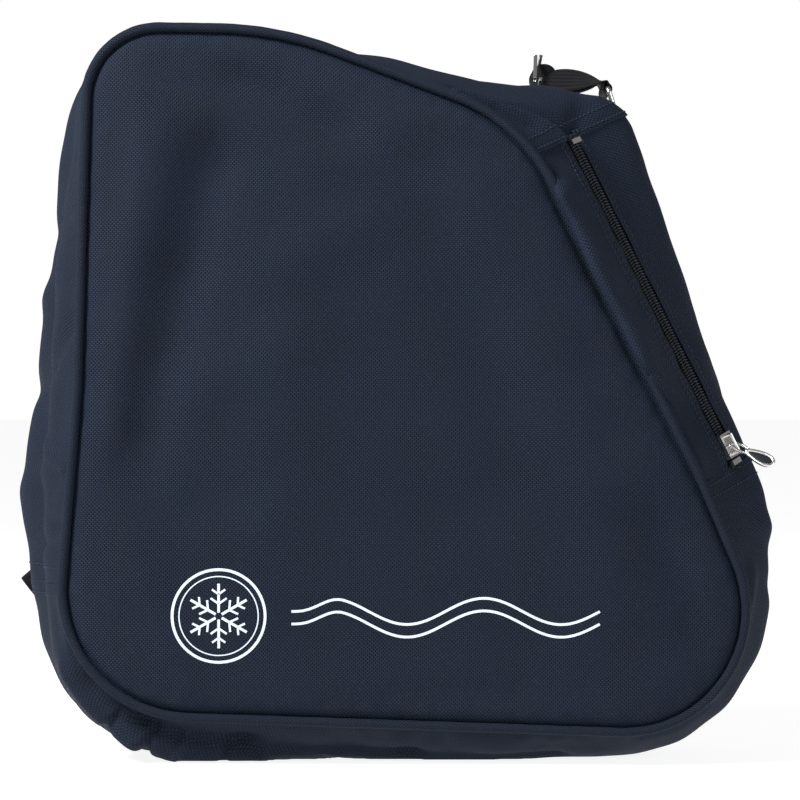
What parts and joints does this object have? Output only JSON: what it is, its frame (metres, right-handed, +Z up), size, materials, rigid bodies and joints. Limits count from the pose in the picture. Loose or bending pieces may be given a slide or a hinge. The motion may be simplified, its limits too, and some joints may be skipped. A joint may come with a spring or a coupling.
{
  "type": "ski boot bag",
  "caption": "Navy cloth ski boot bag with piped panels, a zip down its sloping front and an adjustable webbing strap, standing on its base.",
  "frame": {"origin": "middle of the flat base that the bag stands on, at floor level", "axes": "+X to the right of the front panel, towards the boot toe; +Y from the front panel to the back panel; +Z up"},
  "size_m": [0.4434, 0.1741, 0.4304],
  "materials": {
    "shell_cloth": "dark navy coated polyester with a fine diagonal weave",
    "piping_cord": "the same cloth wrapped round a cord",
    "binding_tape": "thin woven edge tape, inside the seams",
    "zip_tape": "dense knitted zip tape",
    "zip_coil": "black nylon coil",
    "slider_metal": "bright nickel plate on a die casting",
    "buckle_metal": "bright nickel plate, lightly worn",
    "pull_rubber": "soft dark infill",
    "strap_web": "black ribbed polypropylene webbing"
  },
  "bodies": {
    "bag": {"front_panel": "shell_cloth", "back_panel": "shell_cloth", "front_piping": "piping_cord", "back_piping": "piping_cord", "front_seam_binding": "binding_tape", "back_seam_binding": "binding_tape", "heel_and_top_gusset": "shell_cloth", "base_and_toe_gusset": "shell_cloth", "zip_tape_upper_end": "zip_tape", "zip_tape_lower_end": "zip_tape", "zip_coil_upper_end": "zip_coil", "zip_coil_lower_end": "zip_coil", "zip_stop_upper": "slider_metal", "zip_stop_lower": "slider_metal", "strap_anchor_tab": "strap_web", "strap_lower_end": "strap_web"},
    "front_flap": {"zip_strip_front": "shell_cloth", "zip_tape_front": "zip_tape", "zip_coil_front": "zip_coil"},
    "back_flap": {"zip_strip_back": "shell_cloth", "zip_tape_back": "zip_tape", "zip_coil_back": "zip_coil"},
    "slider": {"slider_body": "slider_metal", "slider_bridge": "slider_metal"},
    "pull": {"pull_tab": "slider_metal", "pull_insert": "pull_rubber"},
    "adjuster": {"strap_ring": "buckle_metal", "strap_adjuster_loop": "strap_web"},
    "tri_glide": {"strap_tri_glide": "buckle_metal"},
    "strap": {"strap_webbing": "strap_web"}
  },
  "joints": [
    {"name": "zip_slide", "type": "slide", "parent": "bag", "child": "slider", "axis": [-0.4472, 0, 0.8944], "range_m": [0, 0.1882]},
    {"name": "pull_swing", "type": "hinge", "parent": "slider", "child": "pull", "pos_m": [0.19331, -0.03301, 0.18487], "axis": [-0.5763, -0.7648, -0.2881], "range_deg": [0, 115]},
    {"name": "front_flap_open", "type": "hinge", "parent": "bag", "child": "front_flap", "pos_m": [0.12656, -0.06, 0.2567], "axis": [0.4472, 0, -0.8944], "range_deg": [0, 85]},
    {"name": "back_flap_open", "type": "hinge", "parent": "bag", "child": "back_flap", "pos_m": [0.12656, 0.06, 0.2567], "axis": [-0.4472, 0, 0.8944], "range_deg": [0, 40]},
    {"name": "adjuster_lift", "type": "hinge", "parent": "bag", "child": "adjuster", "pos_m": [0.13103, 0.062, 0.38416], "axis": [0, 1, 0], "range_deg": [0, 30]},
    {"name": "tri_glide_slide", "type": "slide", "parent": "adjuster", "child": "tri_glide", "axis": [0.4187, 0.3511, -0.8375], "range_m": [0, 0.008]},
    {"name": "strap_lift", "type": "hinge", "parent": "bag", "child": "strap", "pos_m": [0.1042, 0.107, 0.36403], "axis": [0.8013, 0.1031, 0.5893], "range_deg": [0, 50]}
  ],
  "couplings": [
    {"joint": "back_flap_open", "follows": "front_flap_open", "ratio": 0.47059}
  ]
}
